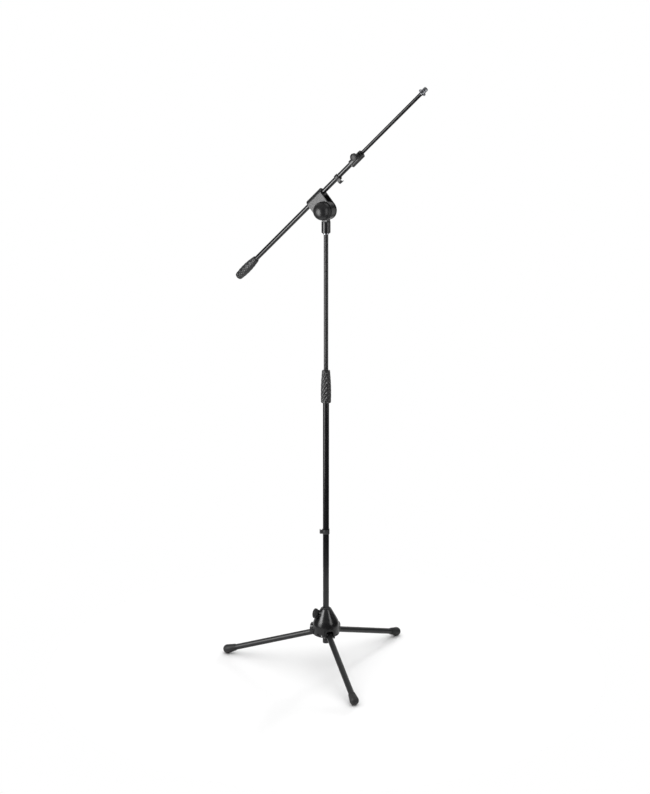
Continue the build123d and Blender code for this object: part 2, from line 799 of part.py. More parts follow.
with BuildPart() as boom_grip:
    grip_floor = boom_tube_back - end_plug_cap - seat
    grip_bore = boom_tube_radius + seat
    lip_radius = grip_mouth_radius - grip_mouth_chamfer
    with BuildSketch(boom_side) as grip_profile:
        with BuildLine():
            Line((grip_back, 0), (grip_back, grip_end_flat_radius))
            ThreePointArc(
                (grip_back, grip_end_flat_radius),
                (grip_back + grip_end_bulge, grip_end_radius - grip_end_bulge),
                (grip_back + grip_end_round, grip_end_radius),
            )
            ThreePointArc(
                (grip_back + grip_end_round, grip_end_radius),
                (grip_widest, grip_widest_radius),
                (grip_mouth - grip_mouth_chamfer, grip_mouth_radius),
            )
            Line((grip_mouth - grip_mouth_chamfer, grip_mouth_radius), (grip_mouth, lip_radius))
            Line((grip_mouth, lip_radius), (grip_mouth, grip_bore))
            Line((grip_mouth, grip_bore), (grip_floor, grip_bore))
            Line((grip_floor, grip_bore), (grip_floor, 0))
            Line((grip_floor, 0), (grip_back, 0))
        make_face()
    revolve(grip_profile.sketch, axis=boom_axis)
save(boom_grip, "boom_grip")


def cable_clip(section, length, tube_radius, hook_radius, hook_wall, hook_mouth, mouth_side):
    """Snap-on cable clip. The section's x axis points at the hook, and its z axis runs along the tube."""
    ring_outer = tube_radius + clip_wall
    ring_middle = tube_radius + clip_wall / 2
    hook_place = ring_outer + hook_radius - hook_overlap
    start = section.offset(-length / 2)
    with BuildPart() as clip:
        with BuildSketch(start) as outline:
            Circle(ring_outer)
            with PolarLocations(ring_middle, 2, 180 - clip_lip_angle, 2 * clip_lip_angle):
                Circle(clip_lip_radius)
            with Locations((hook_place, 0)):
                Circle(hook_radius + hook_wall)
            with Locations((hook_place / 2, -mouth_side * (hook_radius + hook_wall) / 2)):
                Rectangle(hook_place, hook_radius + hook_wall)
            Circle(tube_radius + sliding_fit, mode=Mode.SUBTRACT)
            with Locations((-ring_outer, 0)):
                Rectangle(2 * ring_outer, 2 * tube_radius * clip_gap_share, mode=Mode.SUBTRACT)
            with Locations((hook_place, 0)):
                Circle(hook_radius, mode=Mode.SUBTRACT)
            with Locations((hook_place, mouth_side * hook_radius)):
                Rectangle(hook_mouth, 2 * hook_radius, mode=Mode.SUBTRACT)
        extrude(outline.sketch, amount=length)
    return clip


column_clip_section = Plane(
    origin=(0, 0, column_clip_height), x_dir=radial(column_clip_azimuth), z_dir=(0, 0, 1)
)
column_clip = cable_clip(
    column_clip_section,
    column_clip_length,
    lower_tube_radius,
    column_hook_radius,
    column_hook_wall,
    column_hook_mouth,
    -1,
)
save(column_clip, "column_clip")
boom_clip = cable_clip(
    boom_section(boom_clip_place),
    boom_clip_length,
    boom_tube_radius,
    boom_hook_radius,
    boom_hook_wall,
    boom_hook_mouth,
    1,
)
save(boom_clip, "boom_clip")

# Boom lock: body on the outer tube's end, bush for the inner tube, insert, bolt and knob
lock_middle = boom_side.location * Location((lock_bolt_place, 0, 0))
lock_face = Plane(lock_middle)
with BuildPart() as boom_lock_body:
    with BuildSketch(boom_section(lock_back)) as lock_outline:
        Circle(lock_radius)
        with Locations((lock_belly_drop, 0)):
            Circle(lock_belly_radius)
    extrude(lock_outline.sketch, amount=lock_front - lock_back)
    fillet(faces().sort_by(boom_axis)[-1].edges(), lock_front_round)
    fillet(faces().sort_by(boom_axis)[0].edges(), lock_edge_round)
    cylinder(lock_face, lock_boss_radius, lock_boss_reach)
    fillet(faces().filter_by(Axis.Y).sort_by(Axis.Y)[0].edges(), lock_edge_round)
    socket_depth = boom_tube_front - lock_back + cut_over + seat
    cylinder(boom_section(lock_back - cut_over), boom_tube_radius + seat, socket_depth, Mode.SUBTRACT)
    cylinder(boom_section(lock_back), lock_bush_radius + seat, lock_front, Mode.SUBTRACT)
    cylinder(lock_face, lock_insert_radius + seat, lock_boss_reach + cut_over, Mode.SUBTRACT)
save(boom_lock_body, "boom_lock_body")

with BuildPart() as boom_lock_bush:
    bush_start = boom_tube_front + lock_bush_inset
    pipe(
        boom_section(bush_start),
        lock_front - lock_bush_inset - bush_start,
        lock_bush_radius,
        inner_tube_radius + sliding_fit,
    )
    cylinder(lock_face, lock_bush_window, lock_boss_reach, Mode.SUBTRACT)
save(boom_lock_bush, "boom_lock_bush")

with BuildPart() as boom_lock_insert:
    pipe(
        lock_face.offset(lock_insert_start),
        lock_boss_reach - lock_insert_start,
        lock_insert_radius,
        lock_bolt_radius + sliding_fit,
    )
save(boom_lock_insert, "boom_lock_insert")

with BuildPart() as boom_lock_knob:
    knob_back = lock_face.offset(lock_knob_start)
    cylinder(knob_back, lock_knob_radius, lock_knob_thickness)
    fillet(edges().filter_by(GeomType.CIRCLE), lock_knob_round)
    cylinder(knob_back, lock_bolt_radius + seat, lock_knob_thickness - lock_knob_skin, Mode.SUBTRACT)
save(boom_lock_knob, "boom_lock_knob")

with BuildPart() as boom_lock_bolt:
    bolt_tip = inner_tube_radius + free_gap
    bolt_reach = lock_knob_start + lock_knob_thickness - lock_knob_skin
    cylinder(lock_face.offset(bolt_tip), lock_bolt_radius, bolt_reach - bolt_tip)
    chamfer(edges().filter_by(GeomType.CIRCLE), lock_bolt_chamfer)
save(boom_lock_bolt, "boom_lock_bolt")

# Inner boom tube, its guide bush, and the stud and thread adapter at the tip
with BuildPart() as boom_tube_inner:
    pipe(
        boom_section(inner_tube_back),
        inner_tube_front - inner_tube_back,
        inner_tube_radius,
        inner_tube_radius - inner_tube_wall,
    )
save(boom_tube_inner, "boom_tube_inner")

with BuildPart() as inner_guide_bush:
    pipe(
        boom_section(inner_tube_back),
        inner_bush_length,
        boom_tube_radius - boom_tube_wall - sliding_fit,
        inner_tube_radius + seat,
    )
save(inner_guide_bush, "inner_guide_bush")

with BuildPart() as tip_stud:
    tip_bore = inner_tube_radius - inner_tube_wall - seat
    cylinder(boom_section(inner_tube_front - tip_plug_length), tip_bore, tip_plug_length)
    cylinder(boom_section(inner_tube_front + seat), tip_collar_radius, tip_collar_front - inner_tube_front)
    rims = edges().filter_by(GeomType.CIRCLE).filter_by(lambda edge: edge.radius > inner_tube_radius)
    fillet(rims, tip_collar_round)
    cylinder(boom_section(inner_tube_front), tip_stud_radius, tip_stud_front - inner_tube_front)
save(tip_stud, "tip_stud")

with BuildPart() as thread_adapter:
    flange_back = tip_collar_front + free_gap
    flange_front = flange_back + adapter_flange
    adapter_outline = [
        (flange_back, tip_stud_radius + sliding_fit),
        (flange_back, adapter_flange_radius - adapter_flange_chamfer),
        (flange_back + adapter_flange_chamfer, adapter_flange_radius),
        (flange_front - adapter_flange_chamfer, adapter_flange_radius),
        (flange_front, adapter_flange_radius - adapter_flange_chamfer),
        (flange_front, adapter_thread_radius),
        (adapter_front - adapter_chamfer, adapter_thread_radius),
        (adapter_front, adapter_thread_radius - adapter_chamfer),
        (adapter_front, tip_stud_radius + sliding_fit),
    ]
    turn(adapter_outline, boom_side, boom_axis)
save(thread_adapter, "thread_adapter")
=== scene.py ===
import json
import math

import bmesh
import bpy
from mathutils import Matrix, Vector
from mathutils.bvhtree import BVHTree


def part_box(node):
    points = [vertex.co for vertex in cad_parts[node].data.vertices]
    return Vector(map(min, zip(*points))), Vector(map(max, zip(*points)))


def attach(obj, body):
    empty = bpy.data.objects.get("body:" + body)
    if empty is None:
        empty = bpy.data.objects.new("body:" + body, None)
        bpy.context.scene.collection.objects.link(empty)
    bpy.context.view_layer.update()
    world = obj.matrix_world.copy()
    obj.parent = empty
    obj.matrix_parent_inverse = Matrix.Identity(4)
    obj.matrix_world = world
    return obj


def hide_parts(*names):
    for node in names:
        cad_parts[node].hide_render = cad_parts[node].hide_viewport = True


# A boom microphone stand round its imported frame. Metres, +Z up, the boom in the XZ plane.

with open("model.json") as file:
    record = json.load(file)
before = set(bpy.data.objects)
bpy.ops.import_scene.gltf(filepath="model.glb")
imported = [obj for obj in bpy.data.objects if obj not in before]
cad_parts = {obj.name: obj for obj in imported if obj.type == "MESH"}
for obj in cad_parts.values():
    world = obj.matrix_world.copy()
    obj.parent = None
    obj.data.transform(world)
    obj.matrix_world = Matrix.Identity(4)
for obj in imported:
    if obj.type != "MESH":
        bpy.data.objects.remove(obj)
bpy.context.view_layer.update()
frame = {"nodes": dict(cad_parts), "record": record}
record = frame["record"]
joints = {joint["name"]: joint for joint in record["behaviour"]["joints"]}
mounts = {mount["name"]: mount for mount in record["mounts"]}
MM = 0.001
TURN = 2 * math.pi


# ---------------------------------------------------------------- places in the frame


class Spine:
    """A straight axis: stations are metres along it, and angles turn about it."""

    def __init__(self, origin, direction, start_side=(0, 0, 1)):
        self.origin = Vector(origin)
        self.along = Vector(direction).normalized()
        side = Vector(start_side)
        side -= self.along * side.dot(self.along)
        self.side = side.normalized()
        self.other = self.along.cross(self.side)

    def point(self, station, radius, angle):
        spoke = self.side * math.cos(angle) + self.other * math.sin(angle)
        return self.origin + self.along * station + spoke * radius


def joint_spine(name, start_side=(0, 0, 1)):
    """The axis of a hinge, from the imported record."""
    joint = joints[name]
    return Spine(joint["pos_m"], joint["axis"], start_side)


column = Spine((0, 0, 0), (0, 0, 1), (1, 0, 0))
thread_mount = mounts["microphone_thread"]
boom = Spine(thread_mount["pos_m"], thread_mount["axis"], (0, -1, 0))


def reach(node, spine):
    """First and last station of a CAD node along a spine, and its largest radius about it."""
    stations = []
    radii = []
    for vertex in frame["nodes"][node].data.vertices:
        offset = vertex.co - spine.origin
        station = offset.dot(spine.along)
        stations.append(station)
        radii.append((offset - spine.along * station).length)
    return min(stations), max(stations), max(radii)


PROBES = 8
PROBE_OFFSET = 0.37  # of a probe's spacing, so that no probe runs along an edge of the CAD mesh
PROBE_REACH = 0.5


def outline(node, spine, stations):
    """Outer radius of a CAD node at each station, found from outside."""
    mesh = frame["nodes"][node].data
    corners = [vertex.co for vertex in mesh.vertices]
    tree = BVHTree.FromPolygons(corners, [tuple(face.vertices) for face in mesh.polygons])
    found = []
    for station in stations:
        radii = []
        for probe in range(PROBES):
            angle = TURN * (probe + PROBE_OFFSET) / PROBES
            start = spine.point(station, PROBE_REACH, angle)
            hit = tree.ray_cast(start, spine.point(station, 0, angle) - start)[0]
            if hit is not None:
                offset = hit - spine.origin
                radii.append((offset - spine.along * offset.dot(spine.along)).length)
        found.append((station, max(radii)))
    return found


def steps(first, last, count):
    """Evenly spaced values from first to last."""
    return [first + (last - first) * index / (count - 1) for index in range(count)]


def quarter_turn(count):
    """Angles from 0 to a quarter turn, in count steps."""
    return [math.pi / 2 * step / count for step in range(count + 1)]


def ramp(value, low, high):
    """Smooth step from 0 at low to 1 at high."""
    share = min(1.0, max(0.0, (value - low) / (high - low)))
    return share * share * (3 - 2 * share)


# ---------------------------------------------------------------- procedural materials


class Nodes:
    """A material's node tree with short calls for the nodes used here."""

    def __init__(self, name):
        self.material = bpy.data.materials.new(name)
        self.material.use_nodes = True
        self.tree = self.material.node_tree
        self.shader = self.tree.nodes["Principled BSDF"]
        self.place = self.add("ShaderNodeTexCoord").outputs["Object"]

    def add(self, kind, **values):
        node = self.tree.nodes.new(kind)
        for key, value in values.items():
            if hasattr(node, key):
                setattr(node, key, value)
            else:
                node.inputs[key.replace("_", " ")].default_value = value
        return node

    def link(self, output, target):
        self.tree.links.new(output, target)

    def stretched(self, scale):
        """Object coordinates stretched by a factor for each axis."""
        mapping = self.add("ShaderNodeMapping")
        mapping.inputs["Scale"].default_value = scale
        self.link(self.place, mapping.inputs["Vector"])
        return mapping.outputs["Vector"]

    def noise(self, scale, detail=3.0, roughness=0.55, vector=None):
        node = self.add("ShaderNodeTexNoise", Scale=scale, Detail=detail, Roughness=roughness)
        self.link(vector or self.place, node.inputs["Vector"])
        return node.outputs["Fac"]

    def cells(self, scale):
        node = self.add("ShaderNodeTexVoronoi", Scale=scale)
        self.link(self.place, node.inputs["Vector"])
        return node.outputs["Distance"]

    def spread(self, value, source, target=(0, 1)):
        """Map a range of a value onto another range, clamped."""
        node = self.add("ShaderNodeMapRange")
        node.inputs["From Min"].default_value = source[0]
        node.inputs["From Max"].default_value = source[1]
        node.inputs["To Min"].default_value = target[0]
        node.inputs["To Max"].default_value = target[1]
        self.link(value, node.inputs["Value"])
        return node.outputs["Result"]

    def sum(self, first, second):
        node = self.add("ShaderNodeMath", operation="ADD")
        self.link(first, node.inputs[0])
        self.link(second, node.inputs[1])
        return node.outputs[0]

    def tint(self, share, first, second):
        """Colour between two, by a share."""
        node = self.add("ShaderNodeMix", data_type="RGBA")
        node.inputs["A"].default_value = (*first, 1)
        node.inputs["B"].default_value = (*second, 1)
        self.link(share, node.inputs["Factor"])
        return node.outputs["Result"]

    def over(self, share, base, colour):
        """A colour laid over a linked colour, by a share."""
        node = self.add("ShaderNodeMix", data_type="RGBA")
        node.inputs["B"].default_value = (*colour, 1)
        self.link(base, node.inputs["A"])
        self.link(share, node.inputs["Factor"])
        return node.outputs["Result"]

    def finish(self, colour, roughness, relief, height, strength, **constants):
        """Wire colour, roughness and bump, and set what is the same all over."""
        self.link(colour, self.shader.inputs["Base Color"])
        self.link(roughness, self.shader.inputs["Roughness"])
        bump = self.add("ShaderNodeBump", Strength=strength, Distance=height)
        self.link(relief, bump.inputs["Height"])
        self.link(bump.outputs["Normal"], self.shader.inputs["Normal"])
        for key, value in constants.items():
            self.shader.inputs[key.replace("_", " ")].default_value = value
        return self.material


def grey(value, warm=0.0):
    """Nearly neutral colour."""
    return (value * (1 + warm), value, value * (1 - warm) + 0.0005)


def powder_coat(name, tone, roughness, relief, gloss):
    """Black powder coat: orange peel, faint rub marks and a little dust."""
    n = Nodes(name)
    peel = n.noise(scale=900, detail=2.0)
    broad = n.noise(scale=14, detail=4.0)
    rubs = n.noise(scale=260, detail=5.0, roughness=0.7, vector=n.stretched((1.0, 1.0, 0.06)))
    dust = n.noise(scale=1700, detail=2.0, roughness=0.8)
    colour = n.tint(n.spread(broad, (0.35, 0.7)), grey(tone), grey(tone * 1.45))
    colour = n.over(n.spread(dust, (0.68, 0.8), (0, 0.22)), colour, grey(0.12, 0.03))
    rough = n.sum(n.spread(rubs, (0.45, 0.75), roughness), n.spread(peel, (0.3, 0.7), (-0.02, 0.02)))
    bumps = n.sum(peel, rubs)
    return n.finish(colour, rough, bumps, height=0.04 * MM, strength=relief, Specular_IOR_Level=gloss)


def moulding(name, tone, roughness, grain, height, strength, gloss=0.4):
    """Moulded plastic: spark-eroded grain, flow shading and fine scuffs."""
    n = Nodes(name)
    fine = n.cells(grain)
    flow = n.noise(scale=22, detail=3.0)
    scuffs = n.noise(scale=420, detail=6.0, roughness=0.75, vector=n.stretched((1.0, 0.25, 1.0)))
    colour = n.tint(n.spread(flow, (0.3, 0.75)), grey(tone), grey(tone * 1.5))
    colour = n.over(n.spread(scuffs, (0.66, 0.8), (0, 0.16)), colour, grey(0.16, 0.02))
    rough = n.sum(n.spread(flow, (0.3, 0.7), roughness), n.spread(scuffs, (0.5, 0.8), (0, 0.14)))
    return n.finish(colour, rough, fine, height=height, strength=strength, Specular_IOR_Level=gloss)


def rubber(name, tone, dusty, gloss=0.38):
    """Matt rubber: open grain, pale bloom and scattered dust."""
    n = Nodes(name)
    pores = n.cells(2200)
    fine = n.noise(scale=1540, detail=4.0, roughness=0.7)
    bloom = n.noise(scale=45, detail=5.0, roughness=0.6)
    colour = n.tint(n.spread(bloom, (0.35, 0.7)), grey(tone), grey(tone * 1.7))
    colour = n.over(n.spread(fine, (0.58, 0.75), (0, dusty)), colour, grey(0.2, 0.04))
    rough = n.spread(bloom, (0.3, 0.7), (0.29, 0.38))
    bumps = n.sum(pores, fine)
    return n.finish(colour, rough, bumps, height=0.08 * MM, strength=0.25, Specular_IOR_Level=gloss)


DUST_LINE = 16 * MM  # how high the floor's dust reaches on a foot
DUST_WANDER = 6 * MM


def foot_rubber_material():
    """Rubber that has picked up floor dust low down."""
    n = Nodes("foot_rubber_look")
    fine = n.noise(scale=2400, detail=4.0, roughness=0.7)
    bloom = n.noise(scale=60, detail=5.0, roughness=0.6)
    split = n.add("ShaderNodeSeparateXYZ")
    n.link(n.place, split.inputs["Vector"])
    level = n.sum(split.outputs["Z"], n.spread(bloom, (0.3, 0.7), (-DUST_WANDER, DUST_WANDER)))
    dusty = n.spread(level, (0, DUST_LINE), (0.5, 0))
    colour = n.tint(n.spread(bloom, (0.35, 0.7)), grey(0.01), grey(0.017))
    colour = n.over(dusty, colour, grey(0.07, 0.06))
    rough = n.spread(fine, (0.3, 0.7), (0.46, 0.6))
    return n.finish(colour, rough, fine, height=0.1 * MM, strength=0.35, Specular_IOR_Level=0.35)


def bright_metal(name, colour, second, roughness, brush):
    """Plated or turned metal: brushed streaks, haze and small pits."""
    n = Nodes(name)
    streaks = n.noise(scale=700, detail=4.0, roughness=0.7, vector=n.stretched(brush))
    haze = n.noise(scale=120, detail=5.0, roughness=0.65)
    pits = n.cells(1500)
    tint = n.tint(n.spread(haze, (0.4, 0.75)), colour, second)
    rough = n.sum(n.spread(streaks, (0.3, 0.7), roughness), n.spread(haze, (0.5, 0.8), (0, 0.06)))
    return n.finish(tint, rough, n.sum(streaks, pits), height=0.02 * MM, strength=0.25, Metallic=1.0)


LOOKS = {
    "tube_paint": powder_coat(
        "tube_paint_look", tone=0.0045, roughness=(0.17, 0.27), relief=0.15, gloss=0.4
    ),
    "bracket_paint": powder_coat(
        "bracket_paint_look", tone=0.01, roughness=(0.36, 0.44), relief=0.12, gloss=0.5
    ),
    "black_steel": powder_coat(
        "black_steel_look", tone=0.008, roughness=(0.3, 0.42), relief=0.15, gloss=0.4
    ),
    "housing_plastic": moulding(
        "housing_plastic_look",
        tone=0.005, roughness=(0.2, 0.28),
        grain=2600, height=0.03 * MM, strength=0.25,
    ),
    "black_moulding": moulding(
        "black_moulding_look",
        tone=0.008, roughness=(0.22, 0.32),
        grain=3200, height=0.04 * MM, strength=0.25,
    ),
    "knob_plastic": moulding(
        "knob_plastic_look",
        tone=0.008, roughness=(0.34, 0.42),
        grain=2800, height=0.04 * MM, strength=0.3,
    ),
    "clip_plastic": moulding(
        "clip_plastic_look",
        tone=0.02, roughness=(0.34, 0.44),
        grain=3600, height=0.05 * MM, strength=0.4,
    ),
    "nylon": moulding(
        "nylon_look", tone=0.02, roughness=(0.42, 0.55), grain=3000, height=0.06 * MM, strength=0.4
    ),
    "grip_rubber": rubber("grip_rubber_look", tone=0.015, dusty=0.12),
    "foot_rubber": foot_rubber_material(),
    "chrome": bright_metal(
        "chrome_look", (0.27, 0.275, 0.29), (0.2, 0.205, 0.22), roughness=(0.2, 0.3), brush=(1, 1, 0.2)
    ),
    "brass": bright_metal(
        "brass_look", (0.78, 0.58, 0.27), (0.6, 0.42, 0.18), roughness=(0.2, 0.32), brush=(1, 1, 1)
    ),
    "zinc_steel": bright_metal(
        "zinc_steel_look", (0.6, 0.61, 0.63), (0.46, 0.48, 0.5), roughness=(0.25, 0.4), brush=(1, 0.3, 1)
    ),
}
slots = {entry["node"]: entry["material_slot"] for entry in record["subparts"]}
bodies = {node: body for body, nodes in record["behaviour"]["bodies"].items() for node in nodes}


# ---------------------------------------------------------------- piece building


def put(mesh_data, name, nodes, smooth_angle=35.0):
    """Make an object of a bmesh that rides, is finished and is shown in place of CAD nodes."""
    mesh = bpy.data.meshes.new(name)
    bmesh.ops.recalc_face_normals(mesh_data, faces=mesh_data.faces)
    mesh_data.to_mesh(mesh)
    mesh_data.free()
    for face in mesh.polygons:
        face.use_smooth = True
    mesh.set_sharp_from_angle(angle=math.radians(smooth_angle))
    piece = bpy.data.objects.new(name, mesh)
    bpy.context.scene.collection.objects.link(piece)
    mesh.materials.append(LOOKS[slots[nodes[0]]])
    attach(piece, bodies[nodes[0]])
    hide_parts(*nodes)
    return piece


ON_AXIS = 1e-7


def lathe(path, spine, around, relief=None, loop=False, floor=None):
    """Turn a path of (station, radius) about a spine. relief(station, radius, angle) is cut away.

    An open path starts and ends on the axis, and a loop runs back to its start through the bore.
    Nothing goes below the height of the floor, when one is given."""
    work = bmesh.new()
    rings = []
    for station, radius in path:
        if radius < ON_AXIS:
            rings.append([work.verts.new(spine.point(station, 0, 0))])
            continue
        ring = []
        for index in range(around):
            angle = TURN * index / around
            cut = relief(station, radius, angle) if relief else 0.0
            point = spine.point(station, radius - cut, angle)
            if floor is not None:
                point.z = max(point.z, floor)
            ring.append(work.verts.new(point))
        rings.append(ring)
    pairs = list(zip(rings, rings[1:]))
    if loop:
        pairs.append((rings[-1], rings[0]))
    for low, high in pairs:
        for index in range(around):
            after = (index + 1) % around
            if len(low) == 1 and len(high) == 1:
                continue
            if len(low) == 1:
                work.faces.new((low[0], high[index], high[after]))
            elif len(high) == 1:
                work.faces.new((low[index], high[0], low[after]))
            else:
                work.faces.new((low[index], high[index], high[after], low[after]))
    return work


WELD = 0.001 * MM
FLAT_ANGLE = math.radians(0.5)
SHARP_ANGLE = math.radians(28.0)
ROUNDING_STEPS = 3


def softened(name, node, width):
    """A copy of a CAD node's shape with its sharp edges rounded."""
    work = bmesh.new()
    work.from_mesh(frame["nodes"][node].data)
    bmesh.ops.remove_doubles(work, verts=work.verts, dist=WELD)
    bmesh.ops.dissolve_limit(work, angle_limit=FLAT_ANGLE, verts=work.verts, edges=work.edges)
    sharp = [
        edge
        for edge in work.edges
        if len(edge.link_faces) == 2 and edge.calc_face_angle(0) > SHARP_ANGLE
    ]
    bmesh.ops.bevel(
        work,
        geom=sharp,
        offset=width,
        segments=ROUNDING_STEPS,
        profile=0.5,
        affect="EDGES",
        clamp_overlap=True,
        miter_outer="ARC",
    )
    return put(work, name, [node], 40.0)


# ---------------------------------------------------------------- reliefs


PADS_AROUND = 8
PAD_PITCH = 17.8 * MM
PAD_GROOVE = 0.55  # half width of a groove, as a share of half the pads' spacing
PAD_CROWN = 0.25  # share of the depth that crowns the pads
PAD_FADE_START = 3 * MM  # from either end of the grip
PAD_FADE_END = 8 * MM


def diamond_pads(first, last, depth):
    """Staggered diamond pads between two crossing families of helical grooves."""

    def relief(station, angle):
        turns = PADS_AROUND * angle / TURN
        rise = (station - first) / PAD_PITCH
        fade = ramp(station, first + PAD_FADE_START, first + PAD_FADE_END)
        fade *= 1 - ramp(station, last - PAD_FADE_END, last - PAD_FADE_START)
        one = 2 * abs((turns + rise) % 1 - 0.5)
        two = 2 * abs((turns - rise) % 1 - 0.5)
        groove = 1 - ramp(min(one, two), 0, PAD_GROOVE)
        return depth * fade * ((1 - PAD_CROWN) * groove + PAD_CROWN * (1 - one * two))

    return relief


def screw_thread(first, last, pitch, depth):
    """Helical thread of a V form, faded at its ends."""

    def relief(station, radius, angle):
        phase = ((station - first) / pitch - angle / TURN) % 1
        fade = ramp(station, first - pitch, first + pitch)
        fade *= 1 - ramp(station, last - pitch / 2, last + pitch)
        return depth * fade * abs(2 * phase - 1)

    return relief


# ---------------------------------------------------------------- grips

GRIP_ROWS = 241
GRIP_SIDES = 160
GRIP_END_SKIN = 0.02 * MM
GRIP_END_EDGE = 0.3 * MM
GRIP_WALL = 1.5 * MM  # no relief is cut within this much of the bore
GRIP_MOUTH = 6 * MM
GRIP_CLOSED_END = 20 * MM
BAND_INSET = 2.2 * MM
BAND_DEPTH = 0.3 * MM
BAND_CORE = 0.25 * MM
BAND_REACH = 0.6 * MM


def grip(name, node, spine, bore_front, bore_back, closed_end, depth):
    """Rubber grip with diamond pads, moulded end bands and the CAD's outer shape."""
    first, last, _ = reach(node, spine)
    rows = steps(first + GRIP_END_EDGE, last - GRIP_END_EDGE, GRIP_ROWS)
    outer = outline(node, spine, [first + GRIP_END_SKIN, *rows, last - GRIP_END_SKIN])
    pads = diamond_pads(first, last, depth)

    def relief(station, radius, angle):
        if radius < bore_front + GRIP_WALL:
            return 0.0
        bands = 0.0
        for centre in (first + BAND_INSET, last - BAND_INSET):
            share = 1 - ramp(abs(station - centre), BAND_CORE, BAND_REACH)
            bands = max(bands, BAND_DEPTH * share)
        return max(pads(station, angle), bands)

    if closed_end:
        bore_end = first + GRIP_CLOSED_END
        path = [(first, 0), *outer, (last, bore_front), (bore_end, bore_front), (bore_end, 0)]
    else:
        path = [*outer, (last, bore_front), (last - GRIP_MOUTH, bore_front)]
        path += [(last - GRIP_MOUTH, bore_back), (first + GRIP_MOUTH, bore_back), (first, bore_back)]
    work = lathe(path, spine, GRIP_SIDES, relief, loop=not closed_end)
    return put(work, name, [node], 60.0)


COLUMN_TUBE_GAP = 0.35 * MM
BOOM_TUBE_GAP = 0.03 * MM
COLUMN_PAD_DEPTH = 2.2 * MM
BOOM_PAD_DEPTH = 1.0 * MM
upper_bore = reach("upper_tube", column)[2] + COLUMN_TUBE_GAP
lower_bore = reach("lower_tube", column)[2] + COLUMN_TUBE_GAP
boom_radius = reach("boom_tube_outer", boom)[2]

column_grip = grip(
    "clutch_grip_cover", "clutch_cover", column, upper_bore, lower_bore, False, COLUMN_PAD_DEPTH
)
# Painted shade: the column grip gets a darker, glossier copy of the grip rubber, darkened as if its grooves
# were in shade
column_grip.data.materials[0] = rubber("column_grip_painted_shade_look", tone=0.006, dusty=0.05, gloss=0.6)
grip("boom_rear_grip", "boom_grip", boom, boom_radius + BOOM_TUBE_GAP, boom_radius, True, BOOM_PAD_DEPTH)


# ---------------------------------------------------------------- knobs

# A clamping knob's profile, in shares of its thickness and of its radius
KNOB_SOCKET = 0.35
KNOB_BACK = ((0, 0.42), (0.06, 0.46), (0.1, 0.72), (0.06, 0.82))
KNOB_RIM_ROUND = 0.16
KNOB_RIM_BACK = 0.06
KNOB_RIM_FRONT = 0.05
KNOB_FACE = ((0.02, 0.7), (0.005, 0.62), (0.09, 0.6), (0.1, 0.56), (0.01, 0.54), (0, 0.46))
KNOB_CAP = ((0, 0.2), (0, 0))
FLUTE_INNER = 0.72
FLUTE_OUTER = 0.95
FLUTE_SHARPNESS = 2.2
SIDES_PER_FLUTE = 16


def fluted_knob(name, node, spine, flutes, depth, bore):
    """Round clamping knob: scalloped rim, crowned face with a ring groove and a centre cap."""
    first, last, radius = reach(node, spine)
    thick = last - first
    edge = KNOB_RIM_ROUND * thick
    shoulder = radius - edge
    rim_back = first + KNOB_RIM_BACK * thick
    rim_front = last - KNOB_RIM_FRONT * thick
    socket = first + KNOB_SOCKET * thick

    def relief(station, radius_here, angle):
        wave = 0.5 - 0.5 * math.cos(flutes * angle)
        rim = ramp(radius_here, FLUTE_INNER * radius, FLUTE_OUTER * radius)
        return depth * rim * wave**FLUTE_SHARPNESS

    path = [(socket, 0), (socket, bore), (first, bore)]
    path += [(first + forward * thick, out * radius) for forward, out in KNOB_BACK]
    for turn in quarter_turn(6):
        path.append((rim_back + edge * (1 - math.cos(turn)), shoulder + edge * math.sin(turn)))
    for turn in quarter_turn(6):
        path.append((rim_front - edge * (1 - math.sin(turn)), shoulder + edge * math.cos(turn)))
    path += [(last - back * thick, out * radius) for back, out in KNOB_FACE + KNOB_CAP]
    work = lathe(path, spine, SIDES_PER_FLUTE * flutes, relief)
    return put(work, name, [node], 32.0)


BASE_FLUTE_DEPTH = 1.1 * MM
LOCK_FLUTE_DEPTH = 0.9 * MM
base_knob_spine = joint_spine("base_knob_turn")
lock_knob_spine = joint_spine("boom_lock_turn")
dome_spine = joint_spine("head_knob_turn")
base_bolt_radius = reach("base_bolt", base_knob_spine)[2]
lock_bolt_radius = reach("boom_lock_bolt", lock_knob_spine)[2]
base_knob = fluted_knob(
    "base_clamp_knob", "base_knob", base_knob_spine, 12, BASE_FLUTE_DEPTH, base_bolt_radius
)
lock_knob = fluted_knob(
    "boom_clamp_knob", "boom_lock_knob", lock_knob_spine, 10, LOCK_FLUTE_DEPTH, lock_bolt_radius
)
# Painted shade: a darker, duller copy of the knob plastic for the base and lock knobs
clamp_knob_shaded_look = moulding(
    "lock_knob_painted_shade_look",
    tone=0.006,
    roughness=(0.3, 0.38),
    grain=2800,
    height=0.04 * MM,
    strength=0.3,
    gloss=0.2,
)
base_knob.data.materials[0] = clamp_knob_shaded_look
lock_knob.data.materials[0] = clamp_knob_shaded_look


# The domed knob's profile, in millimetres
DOME_SOCKET = 18
DOME_BOSS = ((0.4, 0), (0, 0.5), (0, 3), (8, 3.5))  # from the back, and out from the insert
DOME_SKIRT = ((8, 5), (0.4, 4), (0, 3.6), (0, 0.9), (0.25, 0.3), (0.9, 0))  # from the back, in from the rim
DOME_GROOVE = ((1.1, 0), (0.9, 0.35), (0.3, 0.35), (0.1, 0.02))  # behind the crown, and in from the rim
DOME_FULLNESS = 0.9  # 1 is a true ball, and less is fuller at the shoulder
DOME_ROWS = 64
DOME_SIDES = 144


